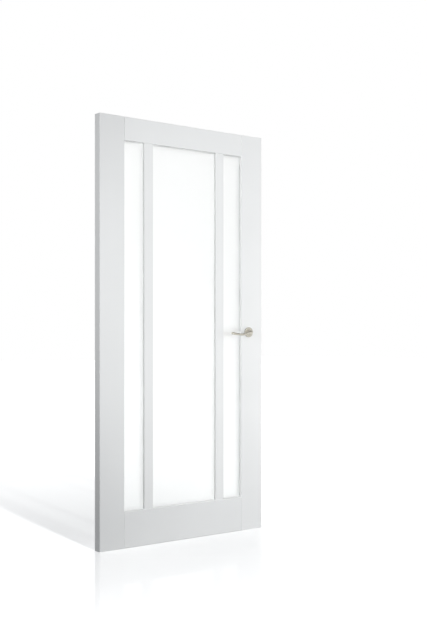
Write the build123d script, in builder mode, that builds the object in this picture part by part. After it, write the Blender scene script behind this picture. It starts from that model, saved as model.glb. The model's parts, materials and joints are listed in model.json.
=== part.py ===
from build123d import *
import os

# A stile-and-rail interior door leaf with three tall lights side by side, narrow, wide and
# narrow, and a lever handle on round roses.
# X runs across the leaf from the hinge edge (0) to the lock edge, Z runs up from the underside,
# and the front face looks along -Y. The origin is at the foot of the hinge edge, in mid thickness.

# Leaf
leaf_width = 980
leaf_height = 2015
leaf_thickness = 44
stile_width = 135
top_rail_height = 110
bottom_rail_height = 170
outer_round = 2.5           # rounding of the leaf's outer long edges
joint_bevel = 1.5           # small bevel on each member, which makes the V where two members meet

# Lights and the bars between them
side_light_width = 115
bar_width = 49
bar_setback = 1.5           # how far the bars' faces lie behind the leaf's faces
bar_bevel = 2

# Glazing
front_lip_depth = 13        # solid lip in front of the glass
rebate_width = 12           # how far the rebate reaches behind the lip
glass_thickness = 6
glass_gap = 2               # room round the edge of each pane
bead_setback = 1.5          # how far the beads' backs lie behind the leaf's back face
bead_round = 8              # quarter-round moulding on the beads' inner edge

# Joinery
rail_tenon_length = 60
rail_tenon_thickness = 14
rail_tenon_shoulder = 22    # step from a rail's outer edge to its tenon's edge
rail_tenon_haunch = 11      # step from a rail's glazing rebate to its tenon's edge
bar_tenon_length = 18
bar_tenon_thickness = 10
tenon_clearance = 0.3
mortise_spare_depth = 2

# Handle
handle_height = 1010
handle_backset = 90         # from the lock edge to the spindle
rose_diameter = 51
rose_thickness = 8
rose_bevel = 2
collar_diameter = 27
collar_rise = 2
collar_bevel = 0.8
neck_diameter = 18
neck_inset = 2              # gap between the leaf's face and the neck's end inside the rose
lever_standoff = 36         # from the leaf's face to the middle of the grip
elbow_radius = 17
lever_length = 138          # from the spindle's axis to the tip
lever_dip = 11.5            # how far the grip's middle hangs below the spindle's axis
lever_dip_reach = 71        # where along the grip it hangs lowest
lever_tip_drop = 5
lever_tip_slope = 0.1       # how steeply the grip rises as it reaches the tip
grip_depth = 13
grip_height = 10.5
tip_depth = 15
tip_height = 12
tip_bevel = 1.5
slim_share = 0.5            # how much of the grip it takes to slim down from the neck
elbow_steps = 5
grip_steps = 16
spindle_size = 8
spindle_play = 0.2          # room for the spindle in its sockets
spindle_socket_depth = 18
spindle_end_gap = 1
running_clearance = 0.4

# Latch
latch_case_thickness = 14
latch_case_height = 26
latch_case_tail = 14        # from the spindle's axis to the case's inner end
latch_clearance = 0.5
faceplate_width = 25
faceplate_height = 58
faceplate_thickness = 3
faceplate_corner = 4
screw_spacing = 45
screw_hole_diameter = 4
screw_sink_diameter = 8
latch_bolt_width = 10.5
latch_bolt_height = 17
latch_bolt_throw = 11       # how far the bolt stands out of the faceplate
latch_bolt_tail = 20
latch_bolt_nose = 3
hub_diameter = 16
spindle_hole_diameter = 20

# Worked-out places
half_thickness = leaf_thickness / 2
rail_left = stile_width
rail_right = leaf_width - stile_width
light_bottom = bottom_rail_height
light_top = leaf_height - top_rail_height
left_bar_start = stile_width + side_light_width
right_bar_start = leaf_width - stile_width - side_light_width - bar_width
lights = {
    "left": (rail_left, left_bar_start),
    "centre": (left_bar_start + bar_width, right_bar_start),
    "right": (right_bar_start + bar_width, rail_right),
}
bottom_tenon = (rail_tenon_shoulder, light_bottom - rebate_width - rail_tenon_haunch)
top_tenon = (light_top + rebate_width + rail_tenon_haunch, leaf_height - rail_tenon_shoulder)
glass_front = half_thickness - front_lip_depth
glass_back = glass_front - glass_thickness
spindle_x = leaf_width - handle_backset
spindle_axis = Axis((spindle_x, 0, handle_height), (0, 1, 0))
handle_plane = Plane((spindle_x, 0, handle_height))
back_face = Plane.XZ.offset(-half_thickness)
case_front = leaf_width - faceplate_thickness
case_back = spindle_x - latch_case_tail
case_length = case_front - case_back


def panel(span_x, span_z, plane, depth, mode=Mode.ADD):
    """A rectangle parallel to the door's face, extruded forwards from the plane."""
    with BuildSketch(plane) as outline:
        with Locations((sum(span_x) / 2, sum(span_z) / 2)):
            Rectangle(span_x[1] - span_x[0], span_z[1] - span_z[0])
    extrude(outline.sketch, amount=depth, mode=mode)


def cut_glazing_rebates():
    """The pocket behind the front lip, round each light, that takes the pane and its beads."""
    for low_x, high_x in lights.values():
        pocket_x = (low_x - rebate_width, high_x + rebate_width)
        pocket_z = (light_bottom - rebate_width, light_top + rebate_width)
        panel(pocket_x, pocket_z, back_face, leaf_thickness - front_lip_depth, Mode.SUBTRACT)


def rail_tenons(tenon_z, play, mode):
    """Both tenons of a rail, or with play round them both mortises in the stiles."""
    plane = Plane.XZ.offset(-rail_tenon_thickness / 2 - play)
    spare = mortise_spare_depth if play else 0
    reach = rail_tenon_length + spare
    span_z = (tenon_z[0] - play, tenon_z[1] + play)
    for span_x in ((rail_left - reach, rail_left), (rail_right, rail_right + reach)):
        panel(span_x, span_z, plane, rail_tenon_thickness + 2 * play, mode)


def bar_tenons(play, mode):
    """The stub tenons at both ends of both bars, or their mortises in the rails."""
    plane = Plane.XZ.offset(-bar_tenon_thickness / 2 - play)
    spare = mortise_spare_depth if play else 0
    reach = bar_tenon_length + spare
    for start in (left_bar_start, right_bar_start):
        span_x = (start + rebate_width - play, start + bar_width - rebate_width + play)
        for span_z in ((light_bottom - reach, light_bottom), (light_top, light_top + reach)):
            panel(span_x, span_z, plane, bar_tenon_thickness + 2 * play, mode)


def stile_blank(outer_x, inner_x):
    """A stile with its outer edges rounded, its inner edges bevelled, rebated and mortised."""
    panel(sorted((outer_x, inner_x)), (0, leaf_height), back_face, leaf_thickness)
    long_edges = edges().filter_by(Axis.Z)
    outer_edges = long_edges.filter_by_position(Axis.X, outer_x, outer_x)
    inner_edges = long_edges.filter_by_position(Axis.X, inner_x, inner_x)
    fillet(outer_edges, outer_round)
    chamfer(inner_edges, joint_bevel)
    cut_glazing_rebates()
    for tenon_z in (bottom_tenon, top_tenon):
        rail_tenons(tenon_z, tenon_clearance, Mode.SUBTRACT)


# Hinge stile
with BuildPart() as hinge_stile:
    stile_blank(0, rail_left)

# Lock stile, bored for the spindle and mortised for the latch
with BuildPart() as lock_stile:
    stile_blank(leaf_width, rail_right)
    with BuildSketch(back_face) as spindle_hole:
        with Locations((spindle_x, handle_height)):
            Circle(spindle_hole_diameter / 2)
    extrude(amount=leaf_thickness, mode=Mode.SUBTRACT)
    with BuildSketch(Plane.YZ.offset(leaf_width)) as latch_mortise:
        with Locations((0, handle_height)):
            Rectangle(latch_case_thickness + 2 * latch_clearance,
                      latch_case_height + 2 * latch_clearance)
    extrude(amount=-(leaf_width - case_back + latch_clearance), mode=Mode.SUBTRACT)
    with BuildSketch(Plane.YZ.offset(leaf_width)) as faceplate_recess:
        with Locations((0, handle_height)):
            RectangleRounded(faceplate_width + 2 * latch_clearance,
                             faceplate_height + 2 * latch_clearance, faceplate_corner)
    extrude(amount=-faceplate_thickness, mode=Mode.SUBTRACT)


def rail_blank(low_z, high_z, outer_z, inner_z):
    """A rail with its outer edges rounded and its other edges bevelled, tenoned into the stiles."""
    panel((rail_left, rail_right), (low_z, high_z), back_face, leaf_thickness)
    long_edges = edges().filter_by(Axis.X)
    outer_edges = long_edges.filter_by_position(Axis.Z, outer_z, outer_z)
    inner_edges = long_edges.filter_by_position(Axis.Z, inner_z, inner_z)
    fillet(outer_edges, outer_round)
    chamfer(inner_edges + edges().filter_by(Axis.Z), joint_bevel)
    cut_glazing_rebates()
    bar_tenons(tenon_clearance, Mode.SUBTRACT)


# Top rail
with BuildPart() as top_rail:
    rail_blank(light_top, leaf_height, leaf_height, light_top)
    rail_tenons(top_tenon, 0, Mode.ADD)

# Bottom rail
with BuildPart() as bottom_rail:
    rail_blank(0, light_bottom, 0, light_bottom)
    rail_tenons(bottom_tenon, 0, Mode.ADD)


def glazing_bar(start):
    """An upright bar, rebated on both sides for the glass and stub-tenoned into the rails."""
    bar_back = Plane.XZ.offset(bar_setback - half_thickness)
    tenon_plane = Plane.XZ.offset(-bar_tenon_thickness / 2)
    web = (start + rebate_width, start + bar_width - rebate_width)
    tenon_span = (light_bottom - bar_tenon_length, light_top + bar_tenon_length)
    with BuildPart() as bar:
        panel((start, start + bar_width), (light_bottom, light_top), bar_back,
              leaf_thickness - 2 * bar_setback)
        chamfer(edges().filter_by(Axis.Z), bar_bevel)
        cut_glazing_rebates()
        panel(web, tenon_span, tenon_plane, bar_tenon_thickness)
    return bar.part


left_bar = glazing_bar(left_bar_start)
right_bar = glazing_bar(right_bar_start)


def pane(low_x, high_x):
    """A pane that lies against the front lip with a little room round its edge."""
    cover = rebate_width - glass_gap
    with BuildPart() as glass:
        panel((low_x - cover, high_x + cover), (light_bottom - cover, light_top + cover),
              Plane.XZ.offset(glass_back), glass_thickness)
    return glass.part


def bead(corners, inner_axis, inner_at):
    """A mitred bead between the glass and the leaf's back, quarter-rounded on its inner edge."""
    bead_back = Plane.XZ.offset(bead_setback - half_thickness)
    with BuildPart() as strip:
        with BuildSketch(bead_back):
            with BuildLine():
                Polyline(*corners, close=True)
            make_face()
        extrude(amount=half_thickness - bead_setback + glass_back)
        inner_edges = edges().filter_by_position(inner_axis, inner_at, inner_at)
        fillet(inner_edges.sort_by(Axis.Y)[-1], bead_round)
    return strip.part


def beads(low_x, high_x):
    """The four beads of one light."""
    out = rebate_width
    inner = [(low_x, light_bottom), (high_x, light_bottom), (high_x, light_top), (low_x, light_top)]
    outer = [
        (low_x - out, light_bottom - out),
        (high_x + out, light_bottom - out),
        (high_x + out, light_top + out),
        (low_x - out, light_top + out),
    ]
    return {
        "bottom": bead((outer[0], outer[1], inner[1], inner[0]), Axis.Z, light_bottom),
        "right": bead((outer[1], outer[2], inner[2], inner[1]), Axis.X, high_x),
        "top": bead((outer[2], outer[3], inner[3], inner[2]), Axis.Z, light_top),
        "left": bead((outer[3], outer[0], inner[0], inner[3]), Axis.X, low_x),
    }


# Rose, a turned disc with a raised collar round the lever's neck
with BuildPart() as front_rose:
    bore_radius = neck_diameter / 2 + running_clearance
    with BuildSketch(handle_plane):
        with BuildLine():
            Polyline(
                (bore_radius, -half_thickness),
                (rose_diameter / 2, -half_thickness),
                (rose_diameter / 2, -half_thickness - rose_thickness),
                (collar_diameter / 2, -half_thickness - rose_thickness),
                (collar_diameter / 2, -half_thickness - rose_thickness - collar_rise),
                (bore_radius, -half_thickness - rose_thickness - collar_rise),
                close=True,
            )
        make_face()
    revolve(axis=spindle_axis)
    rim = edges().filter_by(GeomType.CIRCLE).group_by(SortBy.RADIUS)[-1].sort_by(Axis.Y)[0]
    chamfer(rim, rose_bevel)
    collar_rim = edges().filter_by(GeomType.CIRCLE).sort_by(Axis.Y).group_by(Axis.Y)[0]
    chamfer(collar_rim.sort_by(SortBy.RADIUS)[-1], collar_bevel)

with BuildPart() as back_rose:
    mirror(front_rose.part, about=Plane.XZ)

# Centre line of the front lever, an elbow off the neck and then a shallow wave
grip_y = -half_thickness - lever_standoff
elbow_start = Vector(spindle_x, grip_y + elbow_radius, handle_height)
elbow_end = Vector(spindle_x - elbow_radius, grip_y, handle_height)
with BuildLine() as elbow_line:
    TangentArc(elbow_start, elbow_end, tangent=(0, -1, 0))
with BuildLine() as grip_line:
    Spline(
        elbow_end,
        (spindle_x - lever_dip_reach, grip_y, handle_height - lever_dip),
        (spindle_x - lever_length, grip_y, handle_height - lever_tip_drop),
        tangents=[(-1, 0, 0), (-1, 0, lever_tip_slope)],
    )


def blend(share, start, end):
    """From start to end with a level beginning and end, as share goes from 0 to 1."""
    share = min(max(share, 0), 1)
    return start + (end - start) * share * share * (3 - 2 * share)


def oval_on(line, share, depth, height):
    """An oval section square to a line at a share of its length."""
    tangent = line % share
    across = Vector(0, 0, 1).cross(tangent)
    with BuildSketch(Plane(line @ share, x_dir=across, z_dir=tangent)) as section:
        Ellipse(depth / 2, height / 2)
    return section.sketch


# Lever, a round neck that turns into a slender waved grip of oval section
neck_root = -half_thickness - neck_inset
elbow = elbow_line.wire()
grip = grip_line.wire()
sections = []
for step in range(elbow_steps):
    sections.append(oval_on(elbow, step / elbow_steps, neck_diameter, neck_diameter))
for step in range(grip_steps + 1):
    share = step / grip_steps
    slimming = share / slim_share
    widening = (share - slim_share) / (1 - slim_share)
    depth = blend(widening, blend(slimming, neck_diameter, grip_depth), tip_depth)
    height = blend(widening, blend(slimming, neck_diameter, grip_height), tip_height)
    sections.append(oval_on(grip, share, depth, height))

with BuildPart() as front_lever:
    neck_plane = Plane((spindle_x, neck_root, handle_height), x_dir=(1, 0, 0), z_dir=(0, -1, 0))
    with BuildSketch(neck_plane):
        Circle(neck_diameter / 2)
    extrude(amount=neck_root - elbow_start.Y)
    loft(sections, ruled=True)
    tip_edge = faces().filter_by(GeomType.PLANE).sort_by(Axis.X)[0].edges()
    chamfer(tip_edge, tip_bevel)
    socket_size = spindle_size + spindle_play
    with BuildSketch(neck_plane):
        Rectangle(socket_size, socket_size)
    extrude(amount=spindle_socket_depth, mode=Mode.SUBTRACT)

with BuildPart() as back_lever:
    mirror(front_lever.part, about=Plane.XZ)

# Square spindle that joins the two levers
spindle_half = -neck_root + spindle_socket_depth - spindle_end_gap
with BuildPart() as spindle:
    with BuildSketch(handle_plane.rotated((90, 0, 0))):
        Rectangle(spindle_size, spindle_size)
    extrude(amount=spindle_half, both=True)

# Latch case, bored for its hub and open in front for the bolt
with BuildPart() as latch_case:
    with BuildSketch(Plane.YZ.offset(case_front)):
        with Locations((0, handle_height)):
            Rectangle(latch_case_thickness, latch_case_height)
    extrude(amount=-case_length)
    with BuildSketch(handle_plane.rotated((90, 0, 0))):
        Circle(hub_diameter / 2 + running_clearance)
    extrude(amount=latch_case_thickness, both=True, mode=Mode.SUBTRACT)
    with BuildSketch(Plane.YZ.offset(case_front)):
        with Locations((0, handle_height)):
            Rectangle(latch_bolt_width + latch_clearance, latch_bolt_height + latch_clearance)
    extrude(amount=-latch_bolt_tail - latch_clearance, mode=Mode.SUBTRACT)

# Hub that the spindle turns inside the latch case
with BuildPart() as latch_hub:
    with BuildSketch(handle_plane.rotated((90, 0, 0))):
        Circle(hub_diameter / 2)
        Rectangle(socket_size, socket_size, mode=Mode.SUBTRACT)
    extrude(amount=latch_case_thickness / 2, both=True)

# Faceplate let into the lock edge, with a countersunk screw hole above and below the bolt
with BuildPart() as latch_faceplate:
    with BuildSketch(Plane.YZ.offset(case_front)):
        with Locations((0, handle_height)):
            RectangleRounded(faceplate_width, faceplate_height, faceplate_corner)
            Rectangle(latch_bolt_width + latch_clearance, latch_bolt_height + latch_clearance,
                      mode=Mode.SUBTRACT)
    extrude(amount=faceplate_thickness)
    with Locations(Plane((leaf_width, 0, handle_height), x_dir=(0, 1, 0), z_dir=(1, 0, 0))):
        with GridLocations(0, screw_spacing, 1, 2):
            CounterSinkHole(screw_hole_diameter / 2, screw_sink_diameter / 2, counter_sink_angle=90)

# Latch bolt, bevelled on the side that meets the strike first
with BuildPart() as latch_bolt:
    half_bolt = latch_bolt_width / 2
    bolt_end = leaf_width + latch_bolt_throw
    with BuildSketch(Plane.XY.offset(handle_height - latch_bolt_height / 2)):
        with BuildLine():
            Polyline(
                (case_front - latch_bolt_tail, -half_bolt),
                (bolt_end, -half_bolt),
                (bolt_end, latch_bolt_nose - half_bolt),
                (leaf_width, half_bolt),
                (case_front - latch_bolt_tail, half_bolt),
                close=True,
            )
        make_face()
    extrude(amount=latch_bolt_height)

pieces = {
    "hinge_stile": hinge_stile.part,
    "lock_stile": lock_stile.part,
    "top_rail": top_rail.part,
    "bottom_rail": bottom_rail.part,
    "left_bar": left_bar,
    "right_bar": right_bar,
    "front_rose": front_rose.part,
    "back_rose": back_rose.part,
    "front_lever": front_lever.part,
    "back_lever": back_lever.part,
    "spindle": spindle.part,
    "latch_case": latch_case.part,
    "latch_hub": latch_hub.part,
    "latch_faceplate": latch_faceplate.part,
    "latch_bolt": latch_bolt.part,
}
for light_name, (low_x, high_x) in lights.items():
    pieces[light_name + "_pane"] = pane(low_x, high_x)
    for place, strip in beads(low_x, high_x).items():
        pieces[light_name + "_" + place + "_bead"] = strip

os.makedirs("parts", exist_ok=True)
for name, piece in pieces.items():
    piece.label = name
    export_step(piece, "parts/" + name + ".step")
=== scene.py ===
import json
import math

import bmesh
import bpy
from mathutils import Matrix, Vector


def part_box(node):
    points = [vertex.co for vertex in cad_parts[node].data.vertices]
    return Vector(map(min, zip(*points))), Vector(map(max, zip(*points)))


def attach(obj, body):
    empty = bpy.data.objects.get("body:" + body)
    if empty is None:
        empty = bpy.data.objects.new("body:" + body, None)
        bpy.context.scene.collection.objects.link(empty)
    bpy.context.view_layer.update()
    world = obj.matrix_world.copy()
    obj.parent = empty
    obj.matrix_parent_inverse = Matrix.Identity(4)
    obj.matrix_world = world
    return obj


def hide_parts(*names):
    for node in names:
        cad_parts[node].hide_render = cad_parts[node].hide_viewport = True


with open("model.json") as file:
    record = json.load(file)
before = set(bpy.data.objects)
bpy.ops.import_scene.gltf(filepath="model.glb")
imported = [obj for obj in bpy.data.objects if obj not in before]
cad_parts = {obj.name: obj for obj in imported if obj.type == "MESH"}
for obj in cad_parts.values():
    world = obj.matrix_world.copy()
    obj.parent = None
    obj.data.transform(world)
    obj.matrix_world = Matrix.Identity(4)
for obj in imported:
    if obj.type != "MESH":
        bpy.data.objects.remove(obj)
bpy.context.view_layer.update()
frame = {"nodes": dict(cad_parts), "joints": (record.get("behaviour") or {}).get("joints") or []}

# A glazed interior door leaf, seen standing by itself on a white floor.
# Metres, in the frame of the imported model: X across the leaf, -Y towards the front, Z up.

nodes = frame["nodes"]
front_y, back_y = (corner.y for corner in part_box("hinge_stile"))
lock_edge_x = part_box("lock_stile")[1].x
spindle = Vector(frame["joints"][0]["pos_m"])
lights = ("left", "centre", "right")


# Shader helpers

def new_material(name):
    """An empty node material with its output."""
    material = bpy.data.materials.new(name)
    material.use_nodes = True
    tree = material.node_tree
    tree.nodes.clear()
    output = tree.nodes.new("ShaderNodeOutputMaterial")
    return material, tree, output


def principled(tree, **values):
    """A Principled shader with constants set on its own sockets."""
    shader = tree.nodes.new("ShaderNodeBsdfPrincipled")
    for key, value in values.items():
        shader.inputs[key.replace("_", " ")].default_value = value
    return shader


def noise(tree, scale, detail, stretch=(1, 1, 1)):
    """Noise in object space, drawn out along an axis whose stretch is under 1."""
    place = tree.nodes.new("ShaderNodeTexCoord")
    mapping = tree.nodes.new("ShaderNodeMapping")
    mapping.inputs["Scale"].default_value = stretch
    texture = tree.nodes.new("ShaderNodeTexNoise")
    texture.inputs["Scale"].default_value = scale
    texture.inputs["Detail"].default_value = detail
    tree.links.new(place.outputs["Object"], mapping.inputs["Vector"])
    tree.links.new(mapping.outputs["Vector"], texture.inputs["Vector"])
    return texture.outputs["Fac"]


def ramp(tree, fac, low, high):
    """A colour between low and high as the factor rises through its middle part."""
    node = tree.nodes.new("ShaderNodeValToRGB")
    for element, position, colour in zip(node.color_ramp.elements, (0.35, 0.65), (low, high)):
        element.position = position
        element.color = (*colour, 1)
    tree.links.new(fac, node.inputs["Fac"])
    return node.outputs["Color"]


def mapped(tree, value, low, high, start=0, end=1):
    """The value mapped from start..end to low..high, and held within it."""
    node = tree.nodes.new("ShaderNodeMapRange")
    node.inputs["From Min"].default_value = start
    node.inputs["From Max"].default_value = end
    node.inputs["To Min"].default_value = low
    node.inputs["To Max"].default_value = high
    tree.links.new(value, node.inputs["Value"])
    return node.outputs["Result"]


def combined(tree, operation, first, second):
    """Two values put together, such as by MULTIPLY or MAXIMUM."""
    node = tree.nodes.new("ShaderNodeMath")
    node.operation = operation
    tree.links.new(first, node.inputs[0])
    tree.links.new(second, node.inputs[1])
    return node.outputs["Value"]


def mixed(tree, share, first, second):
    """The first shader with that share of the second."""
    node = tree.nodes.new("ShaderNodeMixShader")
    tree.links.new(share, node.inputs["Fac"])
    tree.links.new(first, node.inputs[1])
    tree.links.new(second, node.inputs[2])
    return node.outputs["Shader"]


def bump(tree, height, distance, normal=None):
    """A bump of that distance in metres."""
    node = tree.nodes.new("ShaderNodeBump")
    node.inputs["Distance"].default_value = distance
    node.inputs["Strength"].default_value = 1
    tree.links.new(height, node.inputs["Height"])
    if normal:
        tree.links.new(normal, node.inputs["Normal"])
    return node.outputs["Normal"]


# Materials

def paint(name, tone, grain, edge):
    """Sprayed satin paint over timber, with a fine peel and a faint grain along the member.

    Its shading is softened within that distance of an edge.
    """
    material, tree, output = new_material(name)
    shader = principled(tree)
    tree.links.new(shader.outputs["BSDF"], output.inputs["Surface"])

    clouds = noise(tree, scale=3, detail=3)
    lighter = tuple(min(1, part * 1.012) for part in tone)
    darker = tuple(part * 0.988 for part in tone)
    tree.links.new(ramp(tree, clouds, darker, lighter), shader.inputs["Base Color"])

    patches = noise(tree, scale=60, detail=4)
    tree.links.new(mapped(tree, patches, 0.36, 0.48), shader.inputs["Roughness"])

    softened = tree.nodes.new("ShaderNodeBevel")
    softened.samples = 4
    softened.inputs["Radius"].default_value = edge
    fibres = noise(tree, scale=260, detail=3, stretch=grain)
    grained = bump(tree, fibres, distance=0.00006, normal=softened.outputs["Normal"])
    peel = noise(tree, scale=900, detail=2)
    tree.links.new(bump(tree, peel, distance=0.00002, normal=grained), shader.inputs["Normal"])
    return material


def satin_glass():
    """Acid-etched glass that blurs what is behind it and dims the light that falls through it."""
    material, tree, output = new_material("satin_glass")
    shader = principled(tree, Base_Color=(0.99, 1, 0.995, 1), IOR=1.5, Transmission_Weight=1)
    patches = noise(tree, scale=40, detail=3)
    tree.links.new(mapped(tree, patches, 0.46, 0.54), shader.inputs["Roughness"])
    etching = noise(tree, scale=1500, detail=2)
    tree.links.new(bump(tree, etching, distance=0.00001), shader.inputs["Normal"])

    light_path = tree.nodes.new("ShaderNodeLightPath")
    lighting = combined(tree, "MAXIMUM", light_path.outputs["Is Shadow Ray"],
                        light_path.outputs["Is Diffuse Ray"])
    dimming = tree.nodes.new("ShaderNodeBsdfTransparent")
    dimming.inputs["Color"].default_value = (0.4, 0.41, 0.405, 1)
    surface = mixed(tree, lighting, shader.outputs["BSDF"], dimming.outputs["BSDF"])
    tree.links.new(surface, output.inputs["Surface"])
    return material


def metal(name, tone, roughness, direction):
    """Satin metal with fine brushing along one direction."""
    material, tree, output = new_material(name)
    shader = principled(tree, Metallic=1)
    tree.links.new(shader.outputs["BSDF"], output.inputs["Surface"])

    clouds = noise(tree, scale=90, detail=3)
    darker = tuple(part * 0.93 for part in tone)
    tree.links.new(ramp(tree, clouds, darker, tone), shader.inputs["Base Color"])

    brushing = noise(tree, scale=1200, detail=3, stretch=direction)
    uneven = mapped(tree, brushing, roughness * 0.85, roughness * 1.15)
    tree.links.new(uneven, shader.inputs["Roughness"])
    tree.links.new(bump(tree, brushing, distance=0.00001), shader.inputs["Normal"])
    return material


def dress(names, material):
    """Gives CAD nodes a material."""
    for name in names:
        mesh = nodes[name].data
        mesh.materials.clear()
        mesh.materials.append(material)


upright_grain, level_grain = (1, 1, 0.04), (0.04, 1, 1)
upright_brushing, level_brushing = (1, 1, 0.05), (0.05, 1, 1)
frame_edge, trim_edge = 0.0025, 0.001
white = (0.82, 0.827, 0.825)
# Painted light: the bars' white is a lighter copy of the leaf's white, standing in for the extra light
# that the bars catch.
lit_bar_white = (0.845, 0.851, 0.849)
nickel_tone = (0.58, 0.55, 0.48)
steel_tone = (0.52, 0.52, 0.51)

paint_upright = paint("white_paint_upright", white, upright_grain, frame_edge)
paint_level = paint("white_paint_level", white, level_grain, frame_edge)
# The bars' paint is that lighter copy, which is painted light on the bars.
lit_bar_paint = paint("white_paint_lit_bar", lit_bar_white, upright_grain, trim_edge)
bead_upright = paint("white_bead_upright", white, upright_grain, trim_edge)
bead_level = paint("white_bead_level", white, level_grain, trim_edge)
nickel = metal("satin_nickel", nickel_tone, 0.28, level_brushing)
steel = metal("latch_steel", steel_tone, 0.34, upright_brushing)
glass = satin_glass()

dress(["hinge_stile", "lock_stile"], paint_upright)
dress(["left_bar", "right_bar"], lit_bar_paint)
dress(["top_rail", "bottom_rail"], paint_level)
dress([f"{light}_{side}_bead" for light in lights for side in ("left", "right")], bead_upright)
dress([f"{light}_{side}_bead" for light in lights for side in ("top", "bottom")], bead_level)
dress([f"{light}_pane" for light in lights], glass)
dress(["front_rose", "back_rose", "front_lever", "back_lever"], nickel)
dress(["spindle", "latch_case", "latch_hub", "latch_faceplate", "latch_bolt"], steel)


# Handle pieces, finer than the solids that they stand for

def mesh_piece(name, rings, capped=True, closed=False, smooth=True):
    """A mesh through rings of as many points each."""
    shape = bmesh.new()
    loops = [[shape.verts.new(point) for point in ring] for ring in rings]
    pairs = list(zip(loops, loops[1:]))
    if closed:
        pairs.append((loops[-1], loops[0]))
    for one, other in pairs:
        for index in range(len(one)):
            after = (index + 1) % len(one)
            shape.faces.new((one[index], one[after], other[after], other[index]))
    if capped:
        shape.faces.new(list(reversed(loops[0])))
        shape.faces.new(loops[-1])
    bmesh.ops.recalc_face_normals(shape, faces=shape.faces)
    mesh = bpy.data.meshes.new(name)
    shape.to_mesh(mesh)
    shape.free()
    for polygon in mesh.polygons:
        polygon.use_smooth = smooth
    piece = bpy.data.objects.new(name, mesh)
    bpy.context.scene.collection.objects.link(piece)
    return piece


def smoothly(share, start, end):
    """From start to end with a level beginning and end."""
    share = min(max(share, 0), 1)
    return start + (end - start) * share * share * (3 - 2 * share)


def hermite(share, start, end, start_slope, end_slope):
    """A cubic between two values with the slopes that it has at each."""
    square, cube = share ** 2, share ** 3
    return ((2 * cube - 3 * square + 1) * start + (cube - 2 * square + share) * start_slope
            + (3 * square - 2 * cube) * end + (cube - square) * end_slope)


# The lever's neck leaves the leaf square, turns in the elbow, and runs as a waved grip. Its low point
# and its tip are given by their reach from the spindle's axis and their drop below it.
neck_radius = 0.009
neck_seat = 0.002
standoff = 0.036
elbow_radius = 0.017
lever_reach = 0.138
low_reach = 0.071
low_drop = 0.0115
tip_drop = 0.005
tip_slope = 0.1
tip_round = 0.005
tip_fullness = 0.8
grip_depths = (0.0065, 0.0075)
grip_heights = (0.00525, 0.006)
neck_steps, elbow_steps, grip_steps = 7, 14, 60
lever_points = 40


def grip_wave(reach):
    """The height of the grip's middle over the spindle's axis at that reach, and its slope."""
    if reach < low_reach:
        run = low_reach - elbow_radius
        share = (reach - elbow_radius) / run
        bend = (0, -low_drop, 0, 0)
    else:
        run = lever_reach - low_reach
        share = (reach - low_reach) / run
        bend = (-low_drop, -tip_drop, 0, tip_slope * run)
    small = 0.01
    height = hermite(share, *bend)
    return height, (hermite(share + small, *bend) - height) / (small * run)


def grip_half_size(share, middle, end):
    """From the neck's radius to a half size in the grip's middle, and on to that at its end."""
    return smoothly(share * 2 - 1, smoothly(share * 2, neck_radius, middle), end)


def lever_line():
    """Points along the lever with their heading and half sizes, as seen from the spindle's axis."""
    stops = []
    for step in range(neck_steps):
        out = -neck_seat + (standoff - elbow_radius + neck_seat) * step / neck_steps
        stops.append((Vector((0, out, 0)), Vector((0, 1, 0)), neck_radius, neck_radius))
    for step in range(elbow_steps):
        turn = math.pi / 2 * step / elbow_steps
        along = elbow_radius * (1 - math.cos(turn))
        out = standoff - elbow_radius + elbow_radius * math.sin(turn)
        heading = Vector((-math.sin(turn), math.cos(turn), 0))
        stops.append((Vector((-along, out, 0)), heading, neck_radius, neck_radius))
    for step in range(grip_steps + 1):
        share = step / grip_steps
        reach = elbow_radius + (lever_reach - elbow_radius) * share
        rise, slope = grip_wave(reach)
        depth = grip_half_size(share, *grip_depths)
        height = grip_half_size(share, *grip_heights)
        left = lever_reach - reach
        if left < tip_round:
            swell = math.sqrt(max(1 - (1 - left / tip_round) ** 2, 0.0009))
            depth *= swell ** tip_fullness
            height *= swell
        heading = Vector((-1, 0, slope)).normalized()
        stops.append((Vector((-reach, standoff, rise)), heading, depth, height))
    return stops


def lever(name, face, outward, node):
    """A waved lever from the leaf's face, outward along -Y or +Y."""
    rings = []
    for point, heading, depth, height in lever_line():
        across = Vector((0, 0, 1)).cross(heading).normalized()
        upward = heading.cross(across).normalized()
        ring = []
        for index in range(lever_points):
            turn = 2 * math.pi * index / lever_points
            spot = point + across * depth * math.cos(turn) + upward * height * math.sin(turn)
            ring.append((spindle.x + spot.x, face + outward * spot.y, spindle.z + spot.z))
        rings.append(ring)
    piece = mesh_piece(name, rings)
    piece.data.materials.append(nickel)
    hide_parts(node)
    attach(piece, "handle")
    return piece


rose_bore = 0.0094
rose_radius = 0.0255
rose_points = 96


def quarter_round(middle, height, radius):
    """Points on a rounded edge of a turned profile, about its centre."""
    steps = 8
    points = []
    for step in range(1, steps):
        turn = math.radians(90 * step / steps)
        points.append((middle + radius * math.cos(turn), height + radius * math.sin(turn)))
    return points


def rose(name, face, outward, node):
    """A turned rose with a softened rim, a fine step and a collar round the neck."""
    # Each point of the profile is a radius and a height over the leaf's face
    profile = [(rose_bore, 0.0), (rose_radius, 0.0), (rose_radius, 0.0060)]
    profile += quarter_round(0.0235, 0.0060, 0.0020)
    profile += [(0.0190, 0.0080), (0.0147, 0.0080), (0.0143, 0.0076)]
    profile += [(0.0138, 0.0076), (0.0135, 0.0079), (0.0135, 0.0092)]
    profile += quarter_round(0.0127, 0.0092, 0.0008)
    profile += [(0.0100, 0.0100), (rose_bore, 0.0094)]
    rings = []
    for index in range(rose_points):
        turn = 2 * math.pi * index / rose_points
        rings.append([(spindle.x + radius * math.cos(turn), face + outward * rise,
                       spindle.z + radius * math.sin(turn)) for radius, rise in profile])
    piece = mesh_piece(name, rings, capped=False, closed=True)
    piece.data.materials.append(nickel)
    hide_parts(node)
    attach(piece, "leaf")
    return piece


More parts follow.
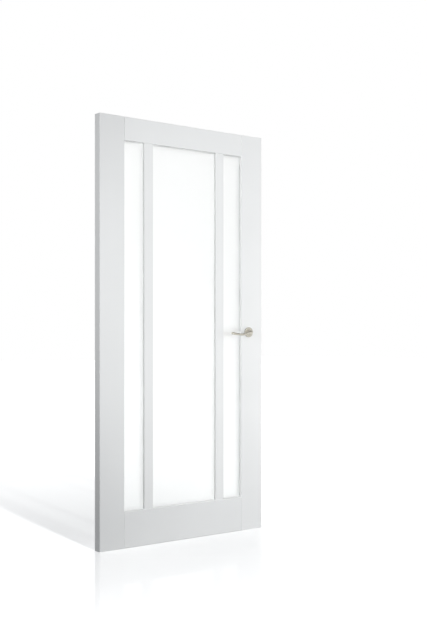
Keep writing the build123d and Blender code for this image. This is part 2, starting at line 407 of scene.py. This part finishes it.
def faceplate_screw(name, height):
    """A countersunk cross-head screw that fills its hole in the faceplate."""
    head, shank = 0.0039, 0.0018
    slot_width, slot_reach, slot_depth = 0.0006, 0.0021, 0.0012
    corner = math.degrees(math.atan2(slot_width, slot_reach))
    offsets = (-corner, -corner / 2, 0, corner / 2, corner, 22, 30, 38, 45, 52, 60, 68)
    turns = [math.radians(quarter + offset) for quarter in (0, 90, 180, 270) for offset in offsets]

    def ring_point(radius, turn, depth):
        return lock_edge_x - depth, radius * math.cos(turn), height + radius * math.sin(turn)

    def round_ring(radius, depth):
        return [ring_point(radius, turn, depth) for turn in turns]

    def cross_ring(size, depth):
        ring = []
        for turn in turns:
            near, far = sorted((abs(math.cos(turn)), abs(math.sin(turn))))
            reach = size * min(slot_reach / far, slot_width / max(near, 0.001))
            ring.append(ring_point(reach, turn, depth))
        return ring

    shank_end = [round_ring(shank * 0.3, 0.0029), round_ring(shank, 0.0028)]
    countersink = [round_ring(shank, 0.0021), round_ring(head, 0.0002)]
    top = [round_ring(head - 0.0002, 0), round_ring(head * 0.8, -0.00015)]
    slot_rim = [cross_ring(1.06, -0.00025), cross_ring(1, -0.0002)]
    slot_floor = [cross_ring(0.8, slot_depth), cross_ring(0.1, slot_depth)]
    piece = mesh_piece(name, shank_end + countersink + top + slot_rim + slot_floor, smooth=False)
    piece.data.materials.append(steel)
    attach(piece, "leaf")


handle_pieces = [
    lever("lever_front", front_y, -1, "front_lever"),
    lever("lever_back", back_y, 1, "back_lever"),
    rose("rose_front", front_y, -1, "front_rose"),
    rose("rose_back", back_y, 1, "back_rose"),
]
screw_offset = 0.0225
faceplate_screw("faceplate_screw_top", spindle.z + screw_offset)
faceplate_screw("faceplate_screw_bottom", spindle.z - screw_offset)


# Stage

def seen_ray(tree):
    """1 for what the camera sees, straight on, in gloss or through glass, and 0 for other light."""
    light_path = tree.nodes.new("ShaderNodeLightPath")
    seen = light_path.outputs["Is Camera Ray"]
    for kind in ("Is Glossy Ray", "Is Transmission Ray"):
        seen = combined(tree, "MAXIMUM", seen, light_path.outputs[kind])
    return combined(tree, "MULTIPLY", seen, mapped(tree, light_path.outputs["Diffuse Depth"], 1, 0))


def white_world():
    """White to the eye, greyer overhead in gloss alone, and a plain soft light on the object."""
    world = bpy.data.worlds.new("studio")
    bpy.context.scene.world = world
    world.use_nodes = True
    tree = world.node_tree
    tree.nodes.clear()
    output = tree.nodes.new("ShaderNodeOutputWorld")

    soft = tree.nodes.new("ShaderNodeBackground")
    soft.inputs["Color"].default_value = (0.95, 0.99, 1.03, 1)
    soft.inputs["Strength"].default_value = 0.28

    place = tree.nodes.new("ShaderNodeTexCoord")
    split = tree.nodes.new("ShaderNodeSeparateXYZ")
    tree.links.new(place.outputs["Generated"], split.inputs["Vector"])
    light_path = tree.nodes.new("ShaderNodeLightPath")
    not_through_glass = mapped(tree, light_path.outputs["Is Transmission Ray"], 1, 0)
    mirrored = combined(tree, "MULTIPLY", light_path.outputs["Is Glossy Ray"], not_through_glass)
    upward = mapped(tree, split.outputs["Z"], 0, 1, start=0.2, end=0.6)
    overhead = combined(tree, "MULTIPLY", mirrored, upward)
    backdrop = tree.nodes.new("ShaderNodeBackground")
    backdrop.inputs["Color"].default_value = (1, 1, 1, 1)
    tree.links.new(mapped(tree, overhead, 1, 0.3), backdrop.inputs["Strength"])

    surface = mixed(tree, seen_ray(tree), soft.outputs["Background"], backdrop.outputs["Background"])
    tree.links.new(surface, output.inputs["Surface"])


def floor():
    """A wide white floor that keeps the leaf's shadow, faintly glossy in front of it."""
    half = 30
    mesh = bpy.data.meshes.new("floor")
    corners = [(-half, -half, 0), (half, -half, 0), (half, half, 0), (-half, half, 0)]
    mesh.from_pydata(corners, [], [(0, 1, 2, 3)])
    plane = bpy.data.objects.new("floor", mesh)
    bpy.context.scene.collection.objects.link(plane)
    material, tree, output = new_material("white_floor")
    seen = seen_ray(tree)
    place = tree.nodes.new("ShaderNodeTexCoord")

    # White where it is seen, and a duller white in the light that it throws back on the leaf
    matte = tree.nodes.new("ShaderNodeBsdfDiffuse")
    tree.links.new(mapped(tree, seen, 0.4, 0.9), matte.inputs["Color"])

    # A glow that only shows to the eye, and that lets the shadow fade away from the leaf's foot
    distance = tree.nodes.new("ShaderNodeVectorMath")
    distance.operation = "LENGTH"
    tree.links.new(place.outputs["Object"], distance.inputs[0])
    fade = mapped(tree, distance.outputs["Value"], 0.55, 0.75, start=0.6, end=2.4)
    glow = tree.nodes.new("ShaderNodeEmission")
    tree.links.new(combined(tree, "MULTIPLY", fade, seen), glow.inputs["Strength"])
    lit = tree.nodes.new("ShaderNodeAddShader")
    tree.links.new(matte.outputs["BSDF"], lit.inputs[0])
    tree.links.new(glow.outputs["Emission"], lit.inputs[1])

    # A gloss that grows across the floor up to the leaf and ends behind its front
    gloss = tree.nodes.new("ShaderNodeBsdfGlossy")
    gloss.inputs["Color"].default_value = (1, 1, 1, 1)
    gloss.inputs["Roughness"].default_value = 0.02
    fresnel = tree.nodes.new("ShaderNodeFresnel")
    fresnel.inputs["IOR"].default_value = 1.6
    across = tree.nodes.new("ShaderNodeVectorMath")
    across.operation = "DOT_PRODUCT"
    across.inputs[1].default_value = (0.62, 0.79, 0)
    tree.links.new(place.outputs["Object"], across.inputs[0])
    split = tree.nodes.new("ShaderNodeSeparateXYZ")
    tree.links.new(place.outputs["Object"], split.inputs["Vector"])
    growing = mapped(tree, across.outputs["Value"], 0, 1.4, start=-1.6, end=0.6)
    in_front = mapped(tree, split.outputs["Y"], 1, 0, start=0, end=0.02)
    sheen = combined(tree, "MULTIPLY", growing, in_front)
    share = combined(tree, "MULTIPLY", fresnel.outputs["Fac"], sheen)
    surface = mixed(tree, share, lit.outputs["Shader"], gloss.outputs["BSDF"])
    tree.links.new(surface, output.inputs["Surface"])
    mesh.materials.append(material)
    return plane


def link_group(name, things, state):
    """A group for light linking that takes these things in or leaves them out."""
    group = bpy.data.collections.new(name)
    for thing in things:
        group.objects.link(thing)
    for entry in group.collection_objects:
        entry.light_linking.link_state = state
    return group


def camera():
    """The photograph's point of view, level, with the horizon a little below the middle."""
    data = bpy.data.cameras.new("camera")
    holder = bpy.data.objects.new("camera", data)
    bpy.context.scene.collection.objects.link(holder)
    bpy.context.scene.camera = holder
    frame_height = 640
    focal_pixels = 1011.4
    horizon_below_middle = 15
    data.sensor_width = 36
    data.lens = focal_pixels / frame_height * data.sensor_width
    data.shift_y = horizon_below_middle / frame_height

    # The camera's place follows from where it has the leaf's near upright edge
    turn = math.radians(38.22)
    edge_right, edge_away = -0.5212, 4.6329
    height = 0.9959
    right = Vector((math.cos(turn), -math.sin(turn), 0))
    away = Vector((math.sin(turn), math.cos(turn), 0))
    holder.location = Vector((0, front_y, height)) - edge_right * right - edge_away * away
    holder.rotation_euler = (math.radians(90), 0, -turn)


# Lamps, of which only these show in gloss, so that the handle reflects the white surroundings
shown_in_gloss = ("sun", "spot", "pane_fill")


def hang(name, lamp, place, heading, reach, shaded_by):
    """Puts a lamp in the scene that shines along heading on what is in reach, or else on all."""
    holder = bpy.data.objects.new(name, lamp)
    holder.location = place
    holder.rotation_euler = heading.to_track_quat("-Z", "Y").to_euler()
    bpy.context.scene.collection.objects.link(holder)
    holder.visible_camera = False
    holder.visible_transmission = False
    holder.visible_glossy = name in shown_in_gloss
    if reach:
        holder.light_linking.receiver_collection = reach
    holder.light_linking.blocker_collection = shaded_by


def sun_lamp(name, heading, strength, angle, shaded_by):
    """A far lamp that shines along heading."""
    lamp = bpy.data.lights.new(name, "SUN")
    lamp.energy = strength
    lamp.angle = math.radians(angle)
    hang(name, lamp, (0, 0, 3), Vector(heading), None, shaded_by)


def area_lamp(name, place, aim, size, power, reach, shaded_by):
    """A soft rectangular lamp."""
    lamp = bpy.data.lights.new(name, "AREA")
    lamp.shape = "RECTANGLE"
    lamp.size, lamp.size_y = size
    lamp.energy = power
    hang(name, lamp, place, Vector(aim) - Vector(place), reach, shaded_by)


def spot_lamp(name, place, aim, cone, blend, power, reach, shaded_by):
    """A round lamp whose light fades towards the edge of its cone."""
    lamp = bpy.data.lights.new(name, "SPOT")
    lamp.spot_size = math.radians(cone)
    lamp.spot_blend = blend
    lamp.shadow_soft_size = 0.3
    lamp.energy = power
    hang(name, lamp, place, Vector(aim) - Vector(place), reach, shaded_by)


white_world()
ground = floor()

# What a lamp lights and what shades it. Where a lamp lights only what its group takes in, no node is
# in two such groups, because Blender's light linking was unsteady when they overlapped.
panes = [nodes[f"{light}_pane"] for light in lights]
bars = [nodes["left_bar"], nodes["right_bar"]]
beads = [node for name, node in nodes.items() if name.endswith("_bead")]
off_leaf = [ground] + panes
off_inner = [ground, nodes["hinge_stile"]] + panes
whole_leaf = link_group("whole_leaf", off_leaf, "EXCLUDE")
inner_leaf = link_group("inner_leaf", off_inner, "EXCLUDE")
all_but_bars = link_group("all_but_bars", off_inner + bars, "EXCLUDE")
hinge_side = link_group("hinge_side", [nodes["hinge_stile"]], "INCLUDE")
lock_side = link_group("lock_side", [nodes["lock_stile"]], "INCLUDE")
top_side = link_group("top_side", [nodes["top_rail"]], "INCLUDE")
all_but_glass = link_group("all_but_glass", panes, "EXCLUDE")
bead_side = link_group("bead_side", beads, "INCLUDE")
floor_only = link_group("floor_only", [ground], "INCLUDE")
pane_side = link_group("pane_side", panes, "INCLUDE")
right_bar_side = link_group("right_bar_side", [nodes["right_bar"]], "INCLUDE")
all_but_handle = link_group("all_but_handle", handle_pieces, "EXCLUDE")

camera()

leaf_middle = (0.5, 0, 1.1)
left_behind = (-5.5, 1.7, 1.1)
tall, wide = (0.5, 2.4), (1.5, 2.4)

sun_lamp("sun", (0.137, 0.99, -0.84), strength=1.24, angle=2.5, shaded_by=all_but_handle)

# Light on the whole leaf
area_lamp("strip", (2.6, -1.2, 0.9), (0.9, 0, 0.9), (0.6, 1.6), 18, whole_leaf, all_but_glass)
spot_lamp("spot", (0.8, -3.6, 1.6), (0.75, 0, 1.3), 44, 0.7, 110, whole_leaf, all_but_glass)
spot_lamp("hinge_front", (0.2, -3.0, 1.2), (0.06, 0, 0.95), 34, 0.6, 20, hinge_side, all_but_glass)
spot_lamp("side", (-2.4, -0.5, 2.0), (0, 0, 1.5), 56, 0.9, 80, whole_leaf, all_but_glass)

# Light from the left on the faces round the panes
area_lamp("reveal_front", (-5.5, -1.0, 1.1), leaf_middle, tall, 95, inner_leaf, all_but_glass)
area_lamp("reveal_back", left_behind, leaf_middle, tall, 220, all_but_bars, all_but_glass)
area_lamp("right_bar_reveal", left_behind, leaf_middle, tall, 80, right_bar_side, all_but_glass)

# Light on what lies behind the panes, and on the panes themselves
area_lamp("bead_fill", (-2.5, -5.0, 1.1), leaf_middle, wide, 230, bead_side, floor_only)
area_lamp("pane_fill", (-2.5, -5.0, 1.5), (0.5, 0, 1.4), wide, 330, pane_side, floor_only)

# Light on single members and on the back
area_lamp("hinge_back", (0.3, 5.5, 1.1), (0.05, 0, 1.1), tall, 75, hinge_side, all_but_glass)
area_lamp("lock_reveal", (-5.5, -0.35, 1.1), leaf_middle, (0.3, 2.4), 88, lock_side, floor_only)
area_lamp("top_reveal", (0.49, -0.16, 0.05), (0.49, -0.05, 1.9), (0.9, 0.12), 12, top_side, floor_only)
area_lamp("back", (1.8, 3.2, 1.6), leaf_middle, (1.6, 1.6), 60, whole_leaf, all_but_glass)

bpy.context.scene.view_settings.view_transform = "Standard"
